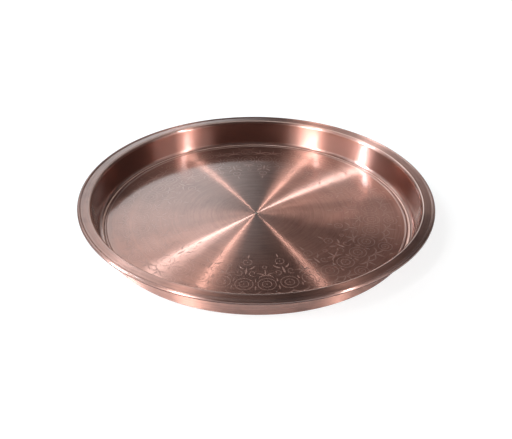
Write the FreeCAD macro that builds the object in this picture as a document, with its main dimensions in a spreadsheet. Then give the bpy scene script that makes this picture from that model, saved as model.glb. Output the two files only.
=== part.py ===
"""Round copper serving tray, spun from one sheet, with a steel wire rolled into its edge.

Frame: +Z up, origin on the underside at the tray's centre, millimetres.
"""

import FreeCAD, Part

import math
import os

import Sketcher

# Driving dimensions in millimetres and degrees. Each becomes one aliased cell of the sheet.
DIMENSIONS = {
    "outer_diameter": 400.0,   # across the rolled edge
    "tray_height": 33.0,       # underside to the top of the rolled edge
    "sheet_thickness": 0.8,    # copper sheet, the same everywhere
    "foot_diameter": 354.4,    # where the floor turns up into the wall
    "foot_fillet": 3.5,        # inside radius between floor and wall
    "foot_flat": 1.7,          # strip between the bead and the wall's fillet
    "bead_width": 4.6,         # raised ring pressed into the floor beside the wall
    "bead_rise": 0.7,
    "wall_lean": 9.0,          # outward lean of the wall from the vertical
    "flare_radius": 4.0,       # bend from the wall into the flat of the rim
    "roll_rise": 0.8,          # how far the rolled edge stands above the flat of the rim
    "roll_blend": 2.5,         # hollow between the rim's flat and the rolled edge
    "curl_sweep": 292.0,       # how far round the wire the sheet is rolled
    "wire_diameter": 2.2,      # steel wire inside the rolled edge
    "wire_clearance": 0.1,     # radial play between the wire and the roll
    "wire_gap": 1.2,           # degrees left open where the wire's ends meet
    "pan_seam": 45.0,          # direction, from +X, in which the pan's round faces begin and end
}
SHEET = "Sizes"
ROLL_SIZE = f"({SHEET}.wire_diameter / 2 + {SHEET}.wire_clearance + {SHEET}.sheet_thickness)"
X_AXIS, Y_AXIS = -1, -2        # a sketch's own axes; point 1 of the X axis is its origin
START, END, CENTRE = 1, 2, 3   # point numbers on a line or an arc


def roll_radius():
    """Outer radius of the rolled edge: half the wire, the play round it and the sheet."""
    return DIMENSIONS["wire_diameter"] / 2 + DIMENSIONS["wire_clearance"] + DIMENSIONS["sheet_thickness"]


def add_sheet(doc):
    """The spreadsheet that every size is bound to."""
    sheet = doc.addObject("Spreadsheet::Sheet", SHEET)
    for row, (alias, value) in enumerate(DIMENSIONS.items(), start=1):
        sheet.set(f"A{row}", alias)
        sheet.set(f"B{row}", str(value))
        sheet.setAlias(f"B{row}", alias)
    doc.recompute()
    return sheet


class SheetPath:
    """An open chain of lines and arcs in a sketch: the sheet's visible side, from the centre outwards."""

    def __init__(self, sketch, start):
        self.sketch = sketch
        self.point = FreeCAD.Vector(*start, 0)
        self.heading = 0.0

    def line(self, length):
        """A straight stretch along the current heading."""
        along = FreeCAD.Vector(math.cos(self.heading), math.sin(self.heading), 0)
        far = self.point + along * length
        index = self.sketch.addGeometry(Part.LineSegment(self.point, far), False)
        self.point = far
        return index, START

    def bend(self, radius, turn):
        """An arc that turns left (positive) or right (negative) by `turn` degrees."""
        side = math.copysign(1.0, turn)
        first = self.heading - side * math.pi / 2
        last = first + math.radians(turn)
        centre = self.point - FreeCAD.Vector(math.cos(first), math.sin(first), 0) * radius
        circle = Part.Circle(centre, FreeCAD.Vector(0, 0, 1), radius)
        arc = Part.ArcOfCircle(circle, min(first, last), max(first, last))
        index = self.sketch.addGeometry(arc, False)
        self.point = centre + FreeCAD.Vector(math.cos(last), math.sin(last), 0) * radius
        self.heading += math.radians(turn)
        return index, START if turn > 0 else END


def bind(sketch, constraint, name, expression):
    """Adds a named dimension to the sketch and drives it from the sheet."""
    sketch.renameConstraint(sketch.addConstraint(constraint), name)
    sketch.setExpression("Constraints." + name, expression)


def draw_profile(sketch):
    """The visible side of the sheet: floor, bead, foot, wall, flare, rim and rolled edge."""
    size = DIMENSIONS
    bead_radius = (size["bead_width"] ** 2 / 4 + size["bead_rise"] ** 2) / (2 * size["bead_rise"])
    bead_angle = math.degrees(math.asin(size["bead_width"] / 2 / bead_radius))
    foot_radius = size["foot_diameter"] / 2
    steepness = 90 - size["wall_lean"]
    rim_level = size["tray_height"] - size["roll_rise"]
    bends = size["foot_fillet"] + size["flare_radius"]
    wall_rise = rim_level - size["sheet_thickness"] - bends * (1 - math.cos(math.radians(steepness)))
    wall_length = wall_rise / math.sin(math.radians(steepness))
    roll_climb = math.degrees(math.acos(1 - size["roll_rise"] / (roll_radius() + size["roll_blend"])))

    path = SheetPath(sketch, (0, size["sheet_thickness"]))
    floor = path.line(foot_radius - size["foot_flat"] - size["bead_width"])
    path.heading = math.radians(bead_angle)
    bead = path.bend(bead_radius, -2 * bead_angle)
    path.heading = 0.0
    flat = path.line(size["foot_flat"])
    foot = path.bend(size["foot_fillet"], steepness)
    wall = path.line(wall_length)
    flare = path.bend(size["flare_radius"], -steepness)
    rim_width = size["outer_diameter"] / 2 - roll_radius() - path.point.x
    rim_width -= (roll_radius() + size["roll_blend"]) * math.sin(math.radians(roll_climb))
    rim = path.line(rim_width)
    blend = path.bend(size["roll_blend"], roll_climb)
    roll = path.bend(roll_radius(), -size["curl_sweep"])

    def far(item):
        """The other end of a line or arc from the end it starts at."""
        return item[0], END if item[1] == START else START

    rule = Sketcher.Constraint
    for corner in ((floor, bead), (bead, flat)):
        sketch.addConstraint(rule("Coincident", *far(corner[0]), *corner[1]))
    for joint in ((flat, foot), (foot, wall), (wall, flare), (flare, rim), (rim, blend), (blend, roll)):
        sketch.addConstraint(rule("Tangent", *far(joint[0]), *joint[1]))
    for level in (floor, flat, rim):
        sketch.addConstraint(rule("Horizontal", level[0]))
    sketch.addConstraint(rule("Horizontal", *bead, *far(bead)))
    sketch.addConstraint(rule("PointOnObject", *floor, Y_AXIS))

    origin = (X_AXIS, START)
    bead_size = f"({SHEET}.bead_width ^ 2 / 4 + {SHEET}.bead_rise ^ 2) / (2 * {SHEET}.bead_rise)"
    bind(sketch, rule("DistanceY", *origin, *floor, size["sheet_thickness"]), "floor_level",
         f"{SHEET}.sheet_thickness")
    bind(sketch, rule("DistanceX", *bead, *far(bead), size["bead_width"]), "bead_width",
         f"{SHEET}.bead_width")
    bind(sketch, rule("Radius", bead[0], bead_radius), "bead_radius", bead_size)
    bind(sketch, rule("DistanceX", *flat, *far(flat), size["foot_flat"]), "foot_flat",
         f"{SHEET}.foot_flat")
    bind(sketch, rule("DistanceX", *origin, *foot, foot_radius), "foot_radius",
         f"{SHEET}.foot_diameter / 2")
    bind(sketch, rule("Radius", foot[0], size["foot_fillet"]), "foot_fillet", f"{SHEET}.foot_fillet")
    bind(sketch, rule("Angle", wall[0], math.radians(steepness)), "wall_angle",
         f"(90 - {SHEET}.wall_lean) * 1 deg")
    bind(sketch, rule("Radius", flare[0], size["flare_radius"]), "flare_radius", f"{SHEET}.flare_radius")
    bind(sketch, rule("DistanceY", *origin, *rim, rim_level), "rim_level",
         f"{SHEET}.tray_height - {SHEET}.roll_rise")
    bind(sketch, rule("Radius", blend[0], size["roll_blend"]), "roll_blend", f"{SHEET}.roll_blend")
    bind(sketch, rule("Radius", roll[0], roll_radius()), "roll_radius", ROLL_SIZE)
    bind(sketch, rule("DistanceX", *origin, roll[0], CENTRE, size["outer_diameter"] / 2 - roll_radius()),
         "roll_centre_x", f"{SHEET}.outer_diameter / 2 - {ROLL_SIZE}")
    bind(sketch, rule("Angle", roll[0], math.radians(size["curl_sweep"])), "curl_sweep",
         f"{SHEET}.curl_sweep * 1 deg")


def add_pan(doc):
    """The pan: one sheet of constant thickness, turned about the Z axis."""
    sketch = doc.addObject("Sketcher::SketchObject", "PanProfile")
    sketch.Placement = FreeCAD.Placement(FreeCAD.Vector(), FreeCAD.Rotation(FreeCAD.Vector(1, 0, 0), 90))
    draw_profile(sketch)
    doc.recompute()

    section = doc.addObject("Part::Offset2D", "PanSection")
    section.Source = sketch
    section.Mode = "Skin"
    section.Fill = True
    section.setExpression("Value", f"-{SHEET}.sheet_thickness")

    pan = doc.addObject("Part::Revolution", "Pan")
    pan.Source = section
    pan.Axis = FreeCAD.Vector(0, 0, 1)
    pan.Base = FreeCAD.Vector(0, 0, 0)
    pan.Angle = 360
    pan.Solid = True
    pan.Label = "tray_pan"
    pan.Placement = FreeCAD.Placement(
        FreeCAD.Vector(), FreeCAD.Rotation(FreeCAD.Vector(0, 0, 1), DIMENSIONS["pan_seam"]))
    pan.setExpression("Placement.Rotation.Angle", f"{SHEET}.pan_seam * 1 deg")
    return pan


def origin_plane(body, role):
    """One of the body's own origin planes."""
    return next(item for item in body.Origin.OriginFeatures if item.Role == role)


def add_wire(doc):
    """The round wire that stiffens the edge, bent to a ring whose ends nearly meet."""
    body = doc.addObject("PartDesign::Body", "Wire")
    sketch = body.newObject("Sketcher::SketchObject", "WireSection")
    sketch.AttachmentSupport = [(origin_plane(body, "XZ_Plane"), "")]
    sketch.MapMode = "FlatFace"
    wire_radius = DIMENSIONS["wire_diameter"] / 2
    ring_radius = DIMENSIONS["outer_diameter"] / 2 - roll_radius()
    ring_level = DIMENSIONS["tray_height"] - roll_radius()
    centre = FreeCAD.Vector(ring_radius, ring_level, 0)
    circle = sketch.addGeometry(Part.Circle(centre, FreeCAD.Vector(0, 0, 1), wire_radius), False)
    rule = Sketcher.Constraint
    bind(sketch, rule("Radius", circle, wire_radius), "wire_radius", f"{SHEET}.wire_diameter / 2")
    bind(sketch, rule("DistanceX", X_AXIS, START, circle, CENTRE, ring_radius), "ring_radius",
         f"{SHEET}.outer_diameter / 2 - {ROLL_SIZE}")
    bind(sketch, rule("DistanceY", X_AXIS, START, circle, CENTRE, ring_level), "ring_level",
         f"{SHEET}.tray_height - {ROLL_SIZE}")
    doc.recompute()

    ring = body.newObject("PartDesign::Revolution", "WireRing")
    ring.Profile = sketch
    ring.ReferenceAxis = (sketch, ["V_Axis"])
    ring.setExpression("Angle", f"(360 - {SHEET}.wire_gap) * 1 deg")
    body.Label = "rim_wire"
    body.Placement = FreeCAD.Placement()
    return body


def check(doc, pieces):
    """Stops the build if any feature failed or a piece isn't one valid solid."""
    for item in doc.Objects:
        if {"Invalid", "Error"} & set(item.State):
            raise RuntimeError(f"{item.Label} failed: {item.State}")
    for piece in pieces:
        shape = piece.Shape
        if shape.isNull() or not shape.isValid() or len(shape.Solids) != 1:
            raise RuntimeError(f"{piece.Label} is not one valid solid")


def main():
    doc = FreeCAD.newDocument("CopperTray")
    add_sheet(doc)
    pieces = [add_pan(doc), add_wire(doc)]
    doc.recompute()
    check(doc, pieces)
    os.makedirs("parts", exist_ok=True)
    for piece in pieces:
        box = piece.Shape.optimalBoundingBox(False)
        print(f"{piece.Label}: {box.XLength:.2f} x {box.YLength:.2f} x {box.ZLength:.2f} mm, "
              f"{piece.Shape.Volume / 1000:.2f} cm3, lowest z {box.ZMin:.3f}")
        piece.Shape.exportStep(f"parts/{piece.Label}.step")


main()
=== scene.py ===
"""Looks for the copper serving tray: brushed antique copper under lacquer, with an etched ornament.

Lengths are in metres, in the frame's axes, and angles are in degrees. The tray is round about Z.
"""

import math

import bpy
from mathutils import Matrix, Vector


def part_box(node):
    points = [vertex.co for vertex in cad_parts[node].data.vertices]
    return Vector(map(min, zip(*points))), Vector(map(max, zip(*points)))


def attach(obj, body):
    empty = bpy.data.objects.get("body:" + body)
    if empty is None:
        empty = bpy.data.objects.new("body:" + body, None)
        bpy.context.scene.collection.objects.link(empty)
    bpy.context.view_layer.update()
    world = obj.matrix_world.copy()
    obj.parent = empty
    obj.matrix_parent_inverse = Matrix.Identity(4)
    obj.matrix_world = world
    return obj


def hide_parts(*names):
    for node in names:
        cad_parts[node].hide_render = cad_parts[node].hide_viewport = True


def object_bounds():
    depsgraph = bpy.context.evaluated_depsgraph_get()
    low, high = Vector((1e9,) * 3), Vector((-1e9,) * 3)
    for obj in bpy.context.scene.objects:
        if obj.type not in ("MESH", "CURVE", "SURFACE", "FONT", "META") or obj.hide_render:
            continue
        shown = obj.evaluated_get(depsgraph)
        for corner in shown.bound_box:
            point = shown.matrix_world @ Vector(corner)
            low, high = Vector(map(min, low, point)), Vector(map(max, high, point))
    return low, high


MM = 0.001

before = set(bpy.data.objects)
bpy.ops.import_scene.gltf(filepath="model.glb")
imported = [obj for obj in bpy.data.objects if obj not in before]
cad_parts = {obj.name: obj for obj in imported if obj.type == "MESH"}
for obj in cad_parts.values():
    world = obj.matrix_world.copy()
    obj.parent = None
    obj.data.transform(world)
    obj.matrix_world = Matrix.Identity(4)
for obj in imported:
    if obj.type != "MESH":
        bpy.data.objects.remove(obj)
cad_low, cad_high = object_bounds()
pan_low, pan_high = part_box("tray_pan")
wire_low, wire_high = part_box("rim_wire")

# Main sizes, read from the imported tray.
OUTER_RADIUS = (pan_high.x - pan_low.x) / 2
HEIGHT = pan_high.z - pan_low.z
WIRE_RADIUS = (wire_high.z - wire_low.z) / 2

# Sizes of the sheet's profile that the frame doesn't state.
SHEET = 0.8 * MM
WIRE_PLAY = 0.1 * MM
ROLL_RADIUS = WIRE_RADIUS + WIRE_PLAY + SHEET
FOOT_RADIUS = 0.886 * OUTER_RADIUS
FOOT_FILLET = 3.5 * MM
FOOT_FLAT = 1.7 * MM
BEAD_WIDTH = 4.6 * MM
BEAD_RISE = 0.7 * MM
BEAD_EDGE = 0.6 * MM
WALL_LEAN = 9.0
FLARE_RADIUS = 4.0 * MM
ROLL_RISE = 0.8 * MM
ROLL_BLEND = 2.5 * MM
CURL_SWEEP = 292.0
FLOOR_Z = SHEET
FLAT_RADIUS = FOOT_RADIUS - FOOT_FLAT - BEAD_WIDTH
RIM_EDGE = 0.936 * OUTER_RADIUS

# How finely the pan is divided, round the tray and along each stretch of the outline.
SEGMENTS = 256
FLOOR_STEPS = 24
EDGE_STEPS = 4
BEND_STEPS = 12
WALL_STEPS = 8
RIM_STEPS = 3
BLEND_STEPS = 6
CURL_STEPS = 40


def add_piece(name, verts, faces):
    """A new mesh object in the scene."""
    mesh = bpy.data.meshes.new(name)
    mesh.from_pydata(verts, [], faces)
    mesh.update()
    piece = bpy.data.objects.new(name, mesh)
    bpy.context.scene.collection.objects.link(piece)
    return piece


# ---------------------------------------------------------------- pan

class Outline:
    """The visible side of the sheet as points with normals, drawn outwards from the centre."""

    def __init__(self, x, z):
        self.x = x
        self.z = z
        self.heading = 0.0
        self.points = []

    def mark(self, zone):
        """Keeps the current point, its normal and the zone it belongs to."""
        normal = (-math.sin(self.heading), math.cos(self.heading))
        self.points.append((self.x, self.z, normal, zone))

    def line(self, length, steps, zone):
        """A straight stretch along the current heading."""
        for _ in range(steps):
            self.x += math.cos(self.heading) * length / steps
            self.z += math.sin(self.heading) * length / steps
            self.mark(zone)

    def bend(self, radius, turn, steps, zone):
        """An arc that turns left for a positive angle and right for a negative one."""
        side = math.copysign(1.0, turn)
        centre_x = self.x - side * math.sin(self.heading) * radius
        centre_z = self.z + side * math.cos(self.heading) * radius
        for _ in range(steps):
            self.heading += math.radians(turn) / steps
            self.x = centre_x + side * math.sin(self.heading) * radius
            self.z = centre_z - side * math.cos(self.heading) * radius
            self.mark(zone)


def sheet_outline():
    """Floor, bead, foot, wall, flare, rim and rolled edge, from the centre outwards."""
    bead_turn = 2 * math.degrees(math.atan(2 * BEAD_RISE / BEAD_WIDTH))
    bead_crest = BEAD_WIDTH / 2 / math.sin(math.radians(bead_turn)) - BEAD_EDGE
    steep = 90 - WALL_LEAN
    bend_rise = (FOOT_FILLET + FLARE_RADIUS) * (1 - math.cos(math.radians(steep)))
    wall_length = (HEIGHT - ROLL_RISE - FLOOR_Z - bend_rise) / math.sin(math.radians(steep))
    climb = math.degrees(math.acos(1 - ROLL_RISE / (ROLL_RADIUS + ROLL_BLEND)))

    side = Outline(0.0, FLOOR_Z)
    side.mark("floor")
    side.line(FLAT_RADIUS, FLOOR_STEPS, "floor")
    side.bend(BEAD_EDGE, bead_turn, EDGE_STEPS, "floor")
    side.bend(bead_crest, -2 * bead_turn, BEND_STEPS, "foot")
    side.bend(BEAD_EDGE, bead_turn, EDGE_STEPS, "foot")
    side.line(FOOT_FLAT, 1, "foot")
    side.bend(FOOT_FILLET, steep, BEND_STEPS, "foot")
    side.line(wall_length, WALL_STEPS, "wall")
    side.bend(FLARE_RADIUS, -steep, BEND_STEPS, "rim")
    rim_width = OUTER_RADIUS - ROLL_RADIUS - side.x
    rim_width -= (ROLL_RADIUS + ROLL_BLEND) * math.sin(math.radians(climb))
    side.line(rim_width, RIM_STEPS, "rim")
    side.bend(ROLL_BLEND, climb, BLEND_STEPS, "rim")
    side.bend(ROLL_RADIUS, -CURL_SWEEP, CURL_STEPS, "rim")
    return side.points


def lathe(name, rings, zones):
    """A mesh turned about Z from rings of (radius, height), and the zone of each of its faces.

    The first and the last ring have no radius, so each of them is one point.
    """
    verts = []
    faces = []
    face_zones = []
    starts = []
    last = len(rings) - 1
    for ring, (radius, height) in enumerate(rings):
        starts.append(len(verts))
        if ring in (0, last):
            verts.append((0.0, 0.0, height))
            continue
        for k in range(SEGMENTS):
            angle = 2 * math.pi * k / SEGMENTS
            verts.append((radius * math.cos(angle), radius * math.sin(angle), height))
    for ring in range(last):
        near = starts[ring]
        far = starts[ring + 1]
        for k in range(SEGMENTS):
            after = (k + 1) % SEGMENTS
            if ring == 0:
                face = (near, far + k, far + after)
            elif ring + 1 == last:
                face = (near + k, far, near + after)
            else:
                face = (near + k, far + k, far + after, near + after)
            faces.append(face)
            face_zones.append(zones[ring])
    return add_piece(name, verts, faces), face_zones


def make_pan(materials):
    """The pan as one closed sheet: the visible side out to the curl, then back along the hidden side."""
    top = sheet_outline()
    rings = [(x, z) for x, z, _, _ in top]
    zones = [zone for _, _, _, zone in top[1:]]
    back = [(x - SHEET * n[0], z - SHEET * n[1]) for x, z, n, _ in top]
    rings += reversed(back)
    zones += ["under"] * len(back)
    pan, face_zones = lathe("tray_pan_spun", rings, zones)
    order = list(materials)
    for zone in order:
        pan.data.materials.append(materials[zone])
    pan.data.polygons.foreach_set("material_index", [order.index(zone) for zone in face_zones])
    pan.data.polygons.foreach_set("use_smooth", [True] * len(face_zones))
    pan.data.update()
    return pan


# ---------------------------------------------------------------- etched ornament

# A stroke: its width, how far its top stands proud of the floor and how deep its body goes.
LINE_WIDTH = 0.65 * MM
LINE_PROUD = 0.03 * MM
LINE_SUNK = 0.10 * MM

# The repeats of the ornament, the azimuth of the first one, and the radius of each row.
SECTORS = 18
FIRST_SECTOR = 95
OUTER_ROW = 155 * MM
MIDDLE_ROW = 133.5 * MM
INNER_ROW = 112 * MM
POINT_ROW = 97 * MM

# Rosettes: the radius in each row, and the inner ring's share of it.
OUTER_ROSETTE = 7.6 * MM
MIDDLE_ROSETTE = 9.2 * MM
POINT_ROSETTE = 4.6 * MM
BUD_RING = 2.2 * MM
INNER_RING = 0.52

# A petal: the width at its tips, and where it is widest (below 1 is nearer the foot).
PETAL_TIP = 0.25 * MM
PETAL_BELLY = 0.8

# The share of its radius that a scroll loses on the way in.
SCROLL_LOSS = 0.85

# The pairs of side petals of a palmette: offset, lean, length, width and curl. The lengths are shares
# of the palmette's size.
PALMETTE_PAIRS = ((0.07, 34, 0.85, 0.09, 26), (0.12, 70, 0.66, 0.08, 50))

# How finely each kind of stroke is divided.
RING_STEPS = 28
PETAL_STEPS = 9
SCROLL_STEPS = 30


class Strokes:
    """Thin flat strokes laid on the floor, each a closed ribbon, gathered into one mesh."""

    def __init__(self):
        self.verts = []
        self.faces = []
        self.place = Matrix.Identity(3)

    def at(self, radius, azimuth):
        """Moves the local axes to a point of the floor: x runs round the tray, y runs outwards."""
        turn = Matrix.Rotation(math.radians(azimuth - 90), 3, "Z")
        self.place = turn @ Matrix(((1, 0, 0), (0, 1, radius), (0, 0, 1)))

    def line(self, points, widths=None, closed=False):
        """One ribbon along local points; its flat top stands just proud of the floor."""
        spots = [(self.place @ Vector((x, y, 1))).xy for x, y in points]
        widths = widths or [LINE_WIDTH] * len(points)
        section = ((1, LINE_PROUD), (-1, LINE_PROUD), (-1, -LINE_SUNK), (1, -LINE_SUNK))
        corners = len(section)
        count = len(spots)
        first = len(self.verts)
        for k in range(count):
            before = spots[k - 1] if closed or k > 0 else spots[k]
            after = spots[(k + 1) % count] if closed or k < count - 1 else spots[k]
            along = (after - before).normalized()
            side = Vector((-along.y, along.x)) * widths[k] / 2
            for sign, height in section:
                edge = spots[k] + side * sign
                self.verts.append((edge.x, edge.y, FLOOR_Z + height))
        for k in range(count if closed else count - 1):
            near = first + corners * k
            far = first + corners * ((k + 1) % count)
            for j in range(corners):
                i = (j + 1) % corners
                self.faces.append((near + i, far + i, far + j, near + j))
        if not closed:
            end = first + corners * (count - 1)
            self.faces.append(tuple(first + j for j in reversed(range(corners))))
            self.faces.append(tuple(end + j for j in range(corners)))

    def ring(self, x, y, radius):
        """A circle."""
        turns = [2 * math.pi * k / RING_STEPS for k in range(RING_STEPS)]
        self.line([(x + radius * math.cos(a), y + radius * math.sin(a)) for a in turns], closed=True)

    def petal(self, x, y, lean, length, width, curl=0.0):
        """A solid petal from (x, y), leaning away from straight out and curling to its side."""
        start = math.radians(90 - lean)
        points = []
        widths = []
        for k in range(PETAL_STEPS + 1):
            way = k / PETAL_STEPS
            angle = start - math.radians(curl) * way
            points.append((x + math.cos(angle) * length * way, y + math.sin(angle) * length * way))
            widths.append(PETAL_TIP + width * math.sin(math.pi * way ** PETAL_BELLY))
        self.line(points, widths)

    def scroll(self, x, y, start, radius, turns, mirror):
        """A spiral that winds in to (x, y) from the angle `start` round it."""
        points = []
        for k in range(SCROLL_STEPS + 1):
            way = k / SCROLL_STEPS
            angle = math.radians(start) + 2 * math.pi * turns * way
            reach = radius * (1 - SCROLL_LOSS * way)
            points.append((x + mirror * reach * math.cos(angle), y + reach * math.sin(angle)))
        self.line(points)


def palmette(pen, y, size, facing=1):
    """Five petals fanned out from one foot; facing is 1 for outwards and -1 for inwards."""
    middle = 0 if facing > 0 else 180
    pen.petal(0, y, lean=middle, length=size, width=0.10 * size)
    for mirror in (1, -1):
        turn = mirror * facing
        for offset, lean, length, width, curl in PALMETTE_PAIRS:
            pen.petal(mirror * offset * size, y, middle + turn * lean, length * size, width * size,
                      turn * curl)


def rosette(pen, radius, *shares):
    """Rings one inside the other, round a dot."""
    for share in shares:
        pen.ring(0, 0, radius * share)
    pen.petal(0, -0.7 * MM, lean=0, length=1.4 * MM, width=1.2 * MM)


def leafy_scrolls(pen):
    """Two scrolls and two leaves that carry a long petal pointing inwards."""
    for mirror in (1, -1):
        pen.scroll(mirror * 7.5 * MM, 3 * MM, start=70, radius=5.2 * MM, turns=0.9, mirror=mirror)
        pen.petal(mirror * 2.5 * MM, -3 * MM, lean=mirror * 118, length=9 * MM, width=1.5 * MM,
                  curl=mirror * 20)
    pen.petal(0, 6 * MM, lean=180, length=12 * MM, width=1.8 * MM)


def outer_row(pen, azimuth, step):
    """A rosette between two palmettes, with two small petals by the bead."""
    pen.at(OUTER_ROW, azimuth)
    rosette(pen, OUTER_ROSETTE, 1.0, INNER_RING)
    for side in (-1, 1):
        pen.at(OUTER_ROW, azimuth + side * step / 3)
        palmette(pen, -6 * MM, size=13 * MM)
        pen.at(OUTER_ROW + 10 * MM, azimuth + side * step / 6)
        pen.petal(0, -2 * MM, lean=0, length=4 * MM, width=1.3 * MM)


def middle_row(pen, azimuth, step):
    """Two large rosettes, each followed by a pair of small petals."""
    for share in (0, 1 / 2):
        pen.at(MIDDLE_ROW, azimuth + share * step)
        rosette(pen, MIDDLE_ROSETTE, 1.0, INNER_RING)
        pen.at(MIDDLE_ROW, azimuth + (share + 1 / 4) * step)
        pen.petal(0, 3 * MM, lean=0, length=6 * MM, width=1.1 * MM)
        pen.petal(0, -3 * MM, lean=180, length=6 * MM, width=1.1 * MM)


def inner_rows(pen, azimuth, step):
    """Scrolls and a palmette with a bud, and the points that end the ornament."""
    pen.at(INNER_ROW, azimuth + step / 2)
    leafy_scrolls(pen)
    pen.at(INNER_ROW, azimuth)
    palmette(pen, 8 * MM, size=11 * MM, facing=-1)
    pen.ring(0, -7 * MM, BUD_RING)
    pen.at(POINT_ROW, azimuth + step / 2)
    rosette(pen, POINT_ROSETTE, 1.0)
    pen.petal(0, -7 * MM, lean=180, length=7 * MM, width=1.5 * MM)


def make_ornament(material):
    """Rows of rosettes, scrolls and palmettes that thin out towards the middle of the floor."""
    pen = Strokes()
    step = 360 / SECTORS
    for k in range(SECTORS):
        azimuth = FIRST_SECTOR + k * step
        outer_row(pen, azimuth, step)
        middle_row(pen, azimuth, step)
        inner_rows(pen, azimuth, step)
    ornament = add_piece("etched_ornament", pen.verts, pen.faces)
    ornament.data.materials.append(material)
    return ornament


# ---------------------------------------------------------------- shader nodes

class Tree:
    """A short way to add and link shader nodes."""

    def __init__(self, tree):
        self.tree = tree
        tree.nodes.clear()

    def node(self, kind, **settings):
        """A new node with some of its settings changed."""
        made = self.tree.nodes.new(kind)
        for name, value in settings.items():
            setattr(made, name, value)
        return made

    def feed(self, socket, value):
        """Links an output to a socket, or sets the socket to a plain value; colours have no alpha."""
        if isinstance(value, bpy.types.NodeSocket):
            self.tree.links.new(value, socket)
        elif socket.type == "RGBA":
            socket.default_value = (*value, 1)
        else:
            socket.default_value = value

    def math(self, operation, *values, clamp=False):
        """A calculation with numbers."""
        made = self.node("ShaderNodeMath", operation=operation, use_clamp=clamp)
        for socket, value in zip(made.inputs, values):
            self.feed(socket, value)
        return made.outputs[0]

    def vector(self, operation, *values):
        """A calculation with vectors."""
        made = self.node("ShaderNodeVectorMath", operation=operation)
        for socket, value in zip(made.inputs, values):
            self.feed(socket, value)
        return made.outputs["Value" if operation == "LENGTH" else "Vector"]

    def scaled(self, vector, factor):
        """A vector times a number."""
        made = self.node("ShaderNodeVectorMath", operation="SCALE")
        self.feed(made.inputs[0], vector)
        self.feed(made.inputs["Scale"], factor)
        return made.outputs["Vector"]

    def split(self, vector):
        """The x, y and z of a vector."""
        made = self.node("ShaderNodeSeparateXYZ")
        self.feed(made.inputs[0], vector)
        return made.outputs

    def ramp(self, value, low, high, out_low=0.0, out_high=1.0):
        """A smooth step from out_low to out_high as value goes from low to high."""
        made = self.node("ShaderNodeMapRange", interpolation_type="SMOOTHSTEP")
        for socket, item in zip(made.inputs, (value, low, high, out_low, out_high)):
            self.feed(socket, item)
        return made.outputs[0]

    def mix(self, share, first, second):
        """A colour between first and second. Inputs 6 and 7 and output 2 are the node's colours."""
        made = self.node("ShaderNodeMix", data_type="RGBA")
        self.feed(made.inputs[0], share)
        self.feed(made.inputs[6], first)
        self.feed(made.inputs[7], second)
        return made.outputs[2]

    def noise(self, vector, scale, detail, roughness):
        """Soft noise from 0 to 1."""
        made = self.node("ShaderNodeTexNoise", noise_dimensions="3D")
        self.feed(made.inputs["Vector"], vector)
        self.feed(made.inputs["Scale"], scale)
        self.feed(made.inputs["Detail"], detail)
        self.feed(made.inputs["Roughness"], roughness)
        return made.outputs["Fac"]

    def diffuse(self, colour):
        """A matte shader."""
        made = self.node("ShaderNodeBsdfDiffuse")
        self.feed(made.inputs["Color"], colour)
        return made

    def glossy(self, colour, roughness):
        """A metallic shader."""
        made = self.node("ShaderNodeBsdfAnisotropic", distribution="GGX")
        self.feed(made.inputs["Color"], colour)
        self.feed(made.inputs["Roughness"], roughness)
        return made

    def blend(self, share, first, second):
        """A shader between first and second."""
        made = self.node("ShaderNodeMixShader")
        self.feed(made.inputs[0], share)
        self.feed(made.inputs[1], first.outputs[0])
        self.feed(made.inputs[2], second.outputs[0])
        return made

    def show(self, shader, output="ShaderNodeOutputMaterial"):
        """Makes a shader the surface of the material, or of the world."""
        made = self.node(output)
        self.feed(made.inputs["Surface"], shader.outputs[0])


def new_material(name):
    """An empty material and its tree."""
    material = bpy.data.materials.new(name)
    material.use_nodes = True
    return material, Tree(material.node_tree)


def round_coordinates(t):
    """Position, distance from the axis, direction round the tray, and unit vector away from the axis."""
    position = t.node("ShaderNodeNewGeometry").outputs["Position"]
    flat = t.vector("MULTIPLY", position, (1, 1, 0))
    radius = t.vector("LENGTH", flat)
    outwards = t.vector("NORMALIZE", flat)
    around = t.vector("CROSS_PRODUCT", (0, 0, 1), outwards)
    return position, radius, around, outwards


def groove_noise(t, position, radius, outwards, pitch, arc):
    """Noise drawn out round the tray: `pitch` is the width of a brush line, `arc` how fast it fades."""
    turn = t.split(t.scaled(outwards, arc))
    height = t.split(position)[2]
    across = t.math("MULTIPLY", t.math("ADD", radius, height), 1.0 / pitch)
    joined = t.node("ShaderNodeCombineXYZ")
    for socket, value in zip(joined.inputs, (turn[0], turn[1], across)):
        t.feed(socket, value)
    return t.noise(joined.outputs[0], scale=1.0, detail=3.0, roughness=0.6)


# ---------------------------------------------------------------- materials

WHITE = (1, 1, 1)
COPPER = (0.68, 0.345, 0.27)
COPPER_DARK = (0.28, 0.135, 0.105)
# The next colour is rubbed copper, and also the colour of the painted highlight lines.
COPPER_WORN_HIGHLIGHT = (0.96, 0.68, 0.58)
CENTRE_TINT = (0.20, 0.22, 0.17)
# The next colour is painted shade, the near-black under the roll.
PAINTED_SHADE = (0.03, 0.013, 0.011)
ETCHED_DARK = (0.37, 0.205, 0.17)
ETCHED_PALE = (0.52, 0.295, 0.24)
STEEL_PALE = (0.42, 0.41, 0.40)
STEEL_DARK = (0.26, 0.25, 0.24)
RUST = (0.22, 0.09, 0.04)

LACQUER_ROUGHNESS = 0.12
LACQUER_IOR = 1.9

# The coarse brush lines' share beside the fine ones, and how dark a pit is.
COARSE_SHARE = 0.6
PIT_STRENGTH = 0.5

# The wide reflection round the brushed one: how much wider it is along the lines, and its width across.
WIDE_ALONG = 2.2
WIDE_ACROSS = 0.75

# The mark at the centre: where it starts to fade, where it ends, and its strength.
MARK_RADIUS = 1.2 * MM
MARK_END = 2.2 * MM
MARK_STRENGTH = 0.85

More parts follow.
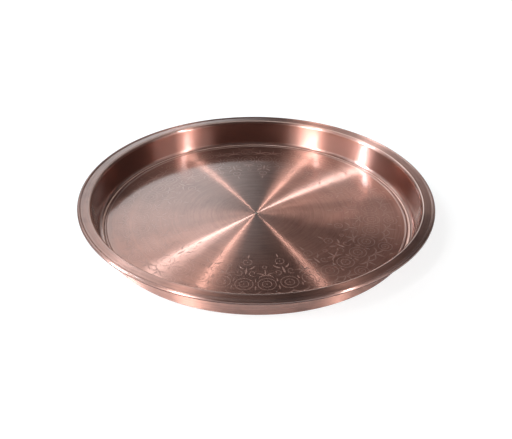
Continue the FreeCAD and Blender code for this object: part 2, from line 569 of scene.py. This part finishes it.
# A worn line, which also paints a highlight line: the width of its reflection, and the share of matte haze
# in it.
WORN_HIGHLIGHT_LOBE = 0.35
WORN_HIGHLIGHT_HAZE = 0.7

# The sheet isn't perfectly true: the height of its waves and the distance between them.
SWELL = 0.2 * MM
SWELL_SPAN = 45 * MM

# Painted shade under the roll: how far a surface faces down for the full shade, and the shade's strength
# there.
PAINTED_SHADE_TILT = -0.30
PAINTED_SHADE_STRENGTH = 0.95

# The etched lines: their roughness where least worn, what wear adds, and the share of matte reflection.
ETCHED_ROUGHNESS = 0.45
ETCHED_WEAR = 0.2
ETCHED_FROST = 0.09


def brushed(t, colour, along, across, around):
    """A metal lobe that is narrow along the brush lines and wide across them (both are GGX widths)."""
    middle = math.sqrt(along * across)
    lobe = t.glossy(colour, math.sqrt(middle))
    t.feed(lobe.inputs["Anisotropy"], 1 - along / middle)
    t.feed(lobe.inputs["Tangent"], around)
    return lobe


def lacquered(t, metal, ior=LACQUER_IOR):
    """Clear lacquer over a metal shader: a neutral reflection that grows towards grazing angles."""
    skin = t.glossy(WHITE, LACQUER_ROUGHNESS)
    share = t.node("ShaderNodeFresnel")
    t.feed(share.inputs["IOR"], ior)
    return t.blend(share.outputs[0], metal, skin)


def uneven(t):
    """Tilts every reflection a little, as in a thin sheet that isn't perfectly true."""
    position = t.node("ShaderNodeNewGeometry").outputs["Position"]
    waves = t.noise(position, scale=1 / SWELL_SPAN, detail=1.0, roughness=0.4)
    bump = t.node("ShaderNodeBump")
    t.feed(bump.inputs["Distance"], SWELL)
    t.feed(bump.inputs["Height"], waves)
    for node in t.tree.nodes:
        if node != bump and "Normal" in node.inputs:
            t.feed(node.inputs["Normal"], bump.outputs[0])


def copper_colour(t, position, radius, outwards, groove, patina, shade):
    """Copper darkened by patina in the brush lines, in clouds and pits, and all over by `shade`, which is
    painted shade.
    """
    coarse = groove_noise(t, position, radius, outwards, pitch=2.2 * MM, arc=1.6)
    fine = groove_noise(t, position, radius, outwards, pitch=0.5 * MM, arc=12.0)
    lines = t.math("MULTIPLY", coarse, COARSE_SHARE)
    lines = t.math("ADD", lines, t.math("MULTIPLY", fine, 1 - COARSE_SHARE))
    lines = t.ramp(lines, low=0.36, high=0.64)
    clouds = t.ramp(t.noise(position, scale=28.0, detail=3.0, roughness=0.55), low=0.42, high=0.72)
    pits = t.ramp(t.noise(position, scale=420.0, detail=2.0, roughness=0.5), low=0.70, high=0.78)
    # An even painted shade over the whole zone comes in with shade.
    dark = t.math("MULTIPLY_ADD", lines, groove, shade)
    dark = t.math("ADD", t.math("MULTIPLY", clouds, patina), dark, clamp=True)
    colour = t.mix(dark, COPPER, COPPER_DARK)
    return t.mix(t.math("MULTIPLY", pits, PIT_STRENGTH), colour, COPPER_DARK)


def with_worn_highlight_line(t, metal, radius, around, line_radius, width, strength):
    """The metal with a bright ring at line_radius, where the patina has rubbed off; the ring also paints a
    highlight line.
    """
    off = t.math("ABSOLUTE", t.math("SUBTRACT", radius, line_radius))
    share = t.ramp(off, low=width / 2, high=width, out_low=strength, out_high=0.0)
    bare_highlight = brushed(t, COPPER_WORN_HIGHLIGHT, WORN_HIGHLIGHT_LOBE, WORN_HIGHLIGHT_LOBE, around)
    bare_highlight = t.blend(WORN_HIGHLIGHT_HAZE, bare_highlight, t.diffuse(COPPER_WORN_HIGHLIGHT))
    return t.blend(share, metal, bare_highlight)


def with_painted_shade_below(t, surface):
    """The surface with painted shade, a near-black matte, on the parts that face down."""
    upward = t.split(t.node("ShaderNodeNewGeometry").outputs["Normal"])[2]
    share = t.ramp(upward, low=PAINTED_SHADE_TILT, high=0.0, out_low=PAINTED_SHADE_STRENGTH, out_high=0.0)
    return t.blend(share, surface, t.diffuse(PAINTED_SHADE))


def copper(name, along=0.035, across=0.26, wide_share=0.4, groove=0.25, patina=0.25, shade=0.0,
           worn_highlight_lines=(), centre_mark=False, painted_shade_below=False, coat_ior=LACQUER_IOR):
    """Antique copper, brushed round the tray, under clear lacquer.

    `along` and `across` are the widths of the reflection along and across the brush lines, and
    `wide_share` is the share of a wider reflection. `groove` and `patina` say how dark the brush lines
    and the clouds are, and `shade` is painted shade that darkens the whole. Each worn line, which also
    paints a highlight line, has a radius, a width and a strength.
    """
    material, t = new_material(name)
    position, radius, around, outwards = round_coordinates(t)
    colour = copper_colour(t, position, radius, outwards, groove, patina, shade)
    if centre_mark:
        mark = t.ramp(radius, low=MARK_RADIUS, high=MARK_END, out_low=MARK_STRENGTH, out_high=0.0)
        colour = t.mix(mark, colour, CENTRE_TINT)
    tight = brushed(t, colour, along, across, around)
    wide = brushed(t, colour, along * WIDE_ALONG, WIDE_ACROSS, around)
    metal = t.blend(wide_share, tight, wide)
    # Bright rubbed rings, which also paint highlight lines.
    for line_radius, width, strength in worn_highlight_lines:
        metal = with_worn_highlight_line(t, metal, radius, around, line_radius, width, strength)
    surface = lacquered(t, metal, coat_ior)
    # Painted shade on the faces that look down, under the roll.
    if painted_shade_below:
        surface = with_painted_shade_below(t, surface)
    t.show(surface)
    uneven(t)
    return material


def copper_zones():
    """The pan's copper, zone by zone."""
    # Painted highlight lines, shown as rubbed copper: on both edges of the bead and at the rim's inner
    # edge.
    bead_highlight_lines = ((FLAT_RADIUS, 0.7 * MM, 0.15), (FLAT_RADIUS + BEAD_WIDTH, 1.4 * MM, 1.0))
    rim_highlight_lines = ((RIM_EDGE, 0.8 * MM, 0.35),)
    return {
        "floor": copper("copper_floor", along=0.017, across=0.32, wide_share=0.6, groove=0.32,
                        worn_highlight_lines=bead_highlight_lines, centre_mark=True),
        # Painted shade: the foot, the wall and the rim are darker copper than the floor.
        "foot": copper("copper_foot", groove=0.15, shade=0.6, worn_highlight_lines=bead_highlight_lines),
        "wall": copper("copper_wall", along=0.045, across=0.14, wide_share=0.03, groove=0.0,
                       patina=0.0, shade=1.0, coat_ior=1.5),
        "rim": copper("copper_rim", across=0.3, wide_share=0.7, groove=0.3, patina=0.3, shade=0.45,
                      worn_highlight_lines=rim_highlight_lines, painted_shade_below=True),
        "under": copper("copper_underside", across=0.3, wide_share=0.7, groove=0.3, patina=0.4),
    }


def etched_copper():
    """The matte lines of the ornament: acid-bitten copper, no brushing, under the same lacquer."""
    material, t = new_material("etched_copper")
    position = t.node("ShaderNodeNewGeometry").outputs["Position"]
    grain = t.noise(position, scale=2600.0, detail=2.0, roughness=0.6)
    wear = t.noise(position, scale=60.0, detail=2.0, roughness=0.5)
    colour = t.mix(t.ramp(grain, low=0.35, high=0.65), ETCHED_DARK, ETCHED_PALE)
    roughness = t.math("MULTIPLY_ADD", wear, ETCHED_WEAR, ETCHED_ROUGHNESS)
    frosted = t.blend(ETCHED_FROST, t.glossy(colour, roughness), t.diffuse(colour))
    t.show(lacquered(t, frosted))
    uneven(t)
    return material


def drawn_steel():
    """The wire in the rolled edge: drawn mild steel with a little rust."""
    material, t = new_material("drawn_steel")
    position, radius, around, outwards = round_coordinates(t)
    draw_lines = groove_noise(t, position, radius, outwards, pitch=0.25 * MM, arc=3.0)
    rust = t.noise(position, scale=150.0, detail=4.0, roughness=0.6)
    metallic = t.ramp(rust, low=0.56, high=0.66, out_low=1.0, out_high=0.2)
    roughness = t.ramp(rust, low=0.50, high=0.66, out_low=0.32, out_high=0.75)
    colour = t.mix(t.ramp(draw_lines, low=0.4, high=0.6), STEEL_PALE, STEEL_DARK)
    colour = t.mix(t.ramp(rust, low=0.56, high=0.66), colour, RUST)
    surface = t.node("ShaderNodeBsdfPrincipled")
    t.feed(surface.inputs["Base Color"], colour)
    t.feed(surface.inputs["Metallic"], metallic)
    t.feed(surface.inputs["Roughness"], roughness)
    t.feed(surface.inputs["Anisotropic"], 0.5)
    t.feed(surface.inputs["Tangent"], around)
    t.show(surface)
    return material


# The floor's grey in the metal's reflections, and its grey and its glow as the camera sees it.
FLOOR_MIRRORED = (0.70, 0.70, 0.70)
FLOOR_SEEN = (0.28, 0.28, 0.28)
FLOOR_GLOW = 0.78


def pale_floor():
    """The studio floor: nearly white to the camera, and a duller grey in the metal's reflections."""
    material, t = new_material("pale_floor")
    seen = t.node("ShaderNodeLightPath").outputs["Is Camera Ray"]
    glow = t.node("ShaderNodeEmission")
    t.feed(glow.inputs["Strength"], t.math("MULTIPLY", seen, FLOOR_GLOW))
    both = t.node("ShaderNodeAddShader")
    t.feed(both.inputs[0], t.diffuse(t.mix(seen, FLOOR_MIRRORED, FLOOR_SEEN)).outputs[0])
    t.feed(both.inputs[1], glow.outputs[0])
    t.show(both)
    return material


# ---------------------------------------------------------------- studio

# Soft windows of light round the tray: name, azimuth from and to at LEAN_PIVOT degrees up, lean of the
# upright edges (degrees of azimuth per degree of elevation), lowest and highest elevation, softness of
# the upright and of the level edges, brightness. Azimuth 0 is +X and 90 is straight behind the tray.
# A lamp is a narrow strip. Its top and its foot carry it on upwards and down to the floor, each with
# its own brightness.
WINDOWS = (
    ("back_right_wall", 52, 84, 0, 16, 30, 16, 8, 0.55),
    ("back_left_wall", 91.5, 124, 0, 21, 35, 10, 5, 1.2),
    ("back_left_glow", 92, 104, 0, 21, 35, 9, 5, 0.6),
    ("back_left_high", 100, 124, 0, 38, 60, 8, 6, 2.6),
    ("left_wall", 124, 238, 0, 29, 38, 4, 4, 2.2),
    ("left_low", 188, 246, 0, 6, 20, 4, 2, 2.6),
    ("front_left_high", 208, 232, 0, 38, 58, 8, 6, 3.0),
    ("right_low", 304, 351, 0, 6, 22, 3, 4, 1.4),
    ("right_high", -15, 65, 0, 38, 60, 10, 8, 0.45),
    ("ceiling", -180, 180, 0, 62, 95, 12, 12, 0.22),
    ("left_lamp", 173, 177, -0.60, 8, 42, 1.5, 6, 64),
    ("left_lamp_top", 173, 177, -0.60, 42, 54, 1.5, 6, 45),
    ("left_lamp_foot", 172.5, 177.5, -0.60, 2, 9, 5, 3, 45),
    ("front_left_lamp", 219, 222, -0.26, 8, 42, 1.5, 4, 26),
    ("front_left_lamp_foot", 219, 229, -0.26, 2, 9, 7, 3, 52),
    ("front_left_lamp_top", 225.5, 228.5, -0.63, 42, 56, 1.5, 4, 60),
    ("front_left_glow", 222, 234, -0.26, 4, 30, 8, 6, 3.5),
    ("front_right_lamp", 328.5, 331, 0.34, 8, 42, 1.5, 4, 13),
    ("front_right_lamp_foot", 327.5, 332.5, 0.34, 2, 9, 5, 3, 62),
    ("front_right_lamp_top", 322, 325, 0.85, 42, 56, 1.5, 4, 60),
)
LEAN_PIVOT = 30

# The dark room between the windows, and the slightly blue light of the left lamp and its top.
ROOM = (0.035, 0.035, 0.035)
COOL = (0.80, 1.0, 1.12)
COOL_WINDOWS = ("left_lamp", "left_lamp_top")

# The floor's half width, and the gap that keeps it from touching the tray.
FLOOR_REACH = 40.0
FLOOR_GAP = 0.05 * MM


def soft_step(t, angle, edge, softness, before, after):
    """Goes from before to after as the angle passes the edge."""
    middle = math.radians(edge)
    fade = math.radians(softness / 2)
    return t.ramp(angle, middle - fade, middle + fade, before, after)


def window_light(t, direction, elevation, window):
    """The brightness of one window, seen in a direction."""
    start, end, lean, lowest, highest, upright_soft, level_soft, power = window
    turned = t.node("ShaderNodeVectorRotate", rotation_type="Z_AXIS")
    t.feed(turned.inputs["Vector"], direction)
    t.feed(turned.inputs["Angle"], -math.radians((start + end) / 2))
    axes = t.split(turned.outputs[0])
    shift = t.math("MULTIPLY", t.math("SUBTRACT", elevation, math.radians(LEAN_PIVOT)), lean)
    off = t.math("SUBTRACT", t.math("ARCTAN2", axes[1], axes[0]), shift)
    off = t.math("ABSOLUTE", off)
    light = soft_step(t, off, (end - start) / 2, upright_soft, 1.0, 0.0)
    light = t.math("MULTIPLY", light, soft_step(t, elevation, lowest, level_soft, 0.0, 1.0))
    light = t.math("MULTIPLY", light, soft_step(t, elevation, highest, level_soft, 1.0, 0.0))
    return t.math("MULTIPLY", light, power)


def studio_sky():
    """The room seen in the metal: dark, with the soft windows. The camera itself sees a white backdrop."""
    world = bpy.data.worlds.new("studio")
    bpy.context.scene.world = world
    world.use_nodes = True
    t = Tree(world.node_tree)
    direction = t.node("ShaderNodeTexCoord").outputs["Generated"]
    elevation = t.math("ARCSINE", t.split(direction)[2])
    light = ROOM
    for name, *window in WINDOWS:
        tint = COOL if name in COOL_WINDOWS else WHITE
        glow = window_light(t, direction, elevation, window)
        light = t.vector("ADD", t.scaled(tint, glow), light)
    room = t.node("ShaderNodeBackground")
    t.feed(room.inputs["Color"], light)
    backdrop = t.node("ShaderNodeBackground")
    t.feed(backdrop.inputs["Color"], WHITE)
    seen = t.node("ShaderNodeLightPath").outputs["Is Camera Ray"]
    t.show(t.blend(seen, room, backdrop), "ShaderNodeOutputWorld")


def studio_floor():
    """A large plain floor just under the tray."""
    corners = [(-FLOOR_REACH, -FLOOR_REACH, 0), (FLOOR_REACH, -FLOOR_REACH, 0),
               (FLOOR_REACH, FLOOR_REACH, 0), (-FLOOR_REACH, FLOOR_REACH, 0)]
    floor = add_piece("studio_floor", corners, [(0, 1, 2, 3)])
    floor.data.materials.append(pale_floor())
    floor.location.z = cad_low.z - FLOOR_GAP


# The camera, found by matching the photo's view of the rim and the base. Its lens and sensor are in
# millimetres, and it looks AIM_SIDE and AIM_UP away from the middle of the tray's underside.
CAMERA_DISTANCE = 3.969 * OUTER_RADIUS
CAMERA_ELEVATION = 32.44
CAMERA_ROLL = -0.47
CAMERA_LENS = 47.8
CAMERA_SENSOR = 36.0
AIM_SIDE = -0.008
AIM_UP = -0.493


def studio_camera():
    """The camera looks down at the tray from the front, aimed a little under its middle."""
    camera = bpy.data.objects.new("camera", bpy.data.cameras.new("camera"))
    bpy.context.scene.collection.objects.link(camera)
    camera.data.lens = CAMERA_LENS
    camera.data.sensor_width = CAMERA_SENSOR
    rise = math.radians(CAMERA_ELEVATION)
    place = Vector((0, -math.cos(rise), math.sin(rise))) * CAMERA_DISTANCE
    camera.matrix_world = (
        Matrix.Translation(place)
        @ Matrix.Rotation(math.pi / 2 - rise + math.radians(AIM_UP), 4, "X")
        @ Matrix.Rotation(-math.radians(AIM_SIDE), 4, "Y")
        @ Matrix.Rotation(-math.radians(CAMERA_ROLL), 4, "Z")
    )
    bpy.context.scene.camera = camera


# ---------------------------------------------------------------- the scene

def main():
    """Puts the pan, the ornament, the wire's finish and the studio together."""
    pan = make_pan(copper_zones())
    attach(pan, "root")
    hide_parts("tray_pan")

    ornament = make_ornament(etched_copper())
    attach(ornament, "root")

    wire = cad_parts["rim_wire"]
    wire.data.materials.clear()
    wire.data.materials.append(drawn_steel())

    studio_floor()
    studio_sky()
    studio_camera()
    bpy.context.scene.view_settings.view_transform = "Standard"


main()
